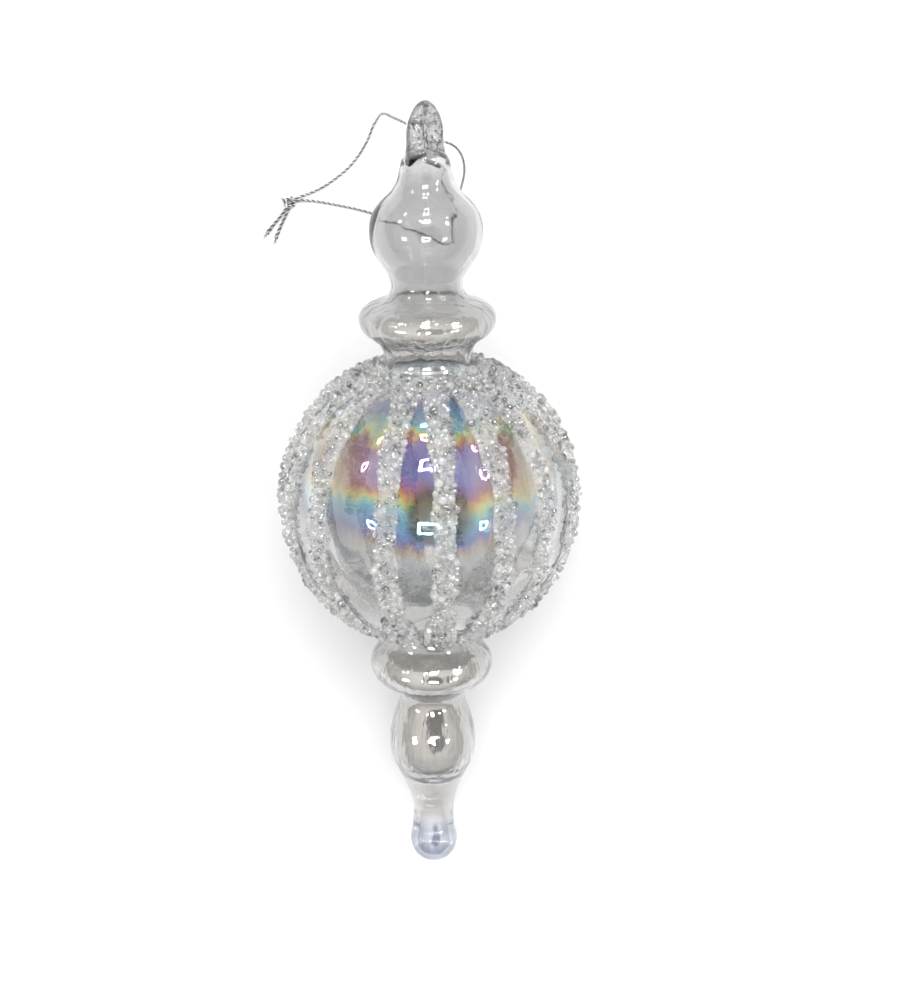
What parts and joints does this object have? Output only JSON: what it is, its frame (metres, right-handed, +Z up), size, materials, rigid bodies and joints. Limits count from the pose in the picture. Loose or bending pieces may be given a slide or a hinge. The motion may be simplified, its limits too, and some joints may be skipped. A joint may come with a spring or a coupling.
{
  "type": "icicle hanging ornament",
  "caption": "Clear iridescent blown-glass finial ornament with a beaded ball, collars, a drop tip and a silver thread hanging loop, lying on its side.",
  "frame": {"origin": "on the surface that the ornament lies on, under the middle of the box of the glass and beads, thread left out", "axes": "+Z up from that surface; +Y towards the hanging eye, along the ornament's length as seen from above (its axis climbs 18.9 degrees towards the eye); +X to the right seen from above with the eye at the top"},
  "size_m": [0.0957, 0.2365, 0.0885],
  "materials": {
    "iridescent_glass": "clear blown glass with a thin iridescent lustre coat",
    "clear_glass": "clear solid glass rod, fire polished",
    "glass_beads": "tiny clear glass beads, glossy",
    "clear_glue": "clear dried glue, glossy and slightly uneven",
    "silver_thread": "two-ply twisted metallic silver thread"
  },
  "bodies": {
    "root": {"glass_body": "iridescent_glass", "hanging_eye": "clear_glass", "glue_line_01": "clear_glue", "glue_line_02": "clear_glue", "glue_line_03": "clear_glue", "glue_line_04": "clear_glue", "glue_line_05": "clear_glue", "glue_line_06": "clear_glue", "glue_line_07": "clear_glue", "glue_line_08": "clear_glue", "glue_line_09": "clear_glue", "glue_line_10": "clear_glue", "glue_line_11": "clear_glue", "glue_line_12": "clear_glue", "glue_line_13": "clear_glue", "glue_line_14": "clear_glue", "glue_line_15": "clear_glue", "glue_line_16": "clear_glue", "glue_ring_top": "clear_glue", "glue_ring_bottom": "clear_glue", "bead_band_01": "glass_beads", "bead_band_02": "glass_beads", "bead_band_03": "glass_beads", "bead_band_04": "glass_beads", "bead_band_05": "glass_beads", "bead_band_06": "glass_beads", "bead_band_07": "glass_beads", "bead_band_08": "glass_beads", "bead_band_09": "glass_beads", "bead_band_10": "glass_beads", "bead_band_11": "glass_beads", "bead_band_12": "glass_beads", "bead_band_13": "glass_beads", "bead_band_14": "glass_beads", "bead_band_15": "glass_beads", "bead_band_16": "glass_beads", "bead_ring_top": "glass_beads", "bead_ring_bottom": "glass_beads", "thread_left_half": "silver_thread", "thread_right_half": "silver_thread", "thread_knot": "silver_thread"}
  },
  "joints": []
}
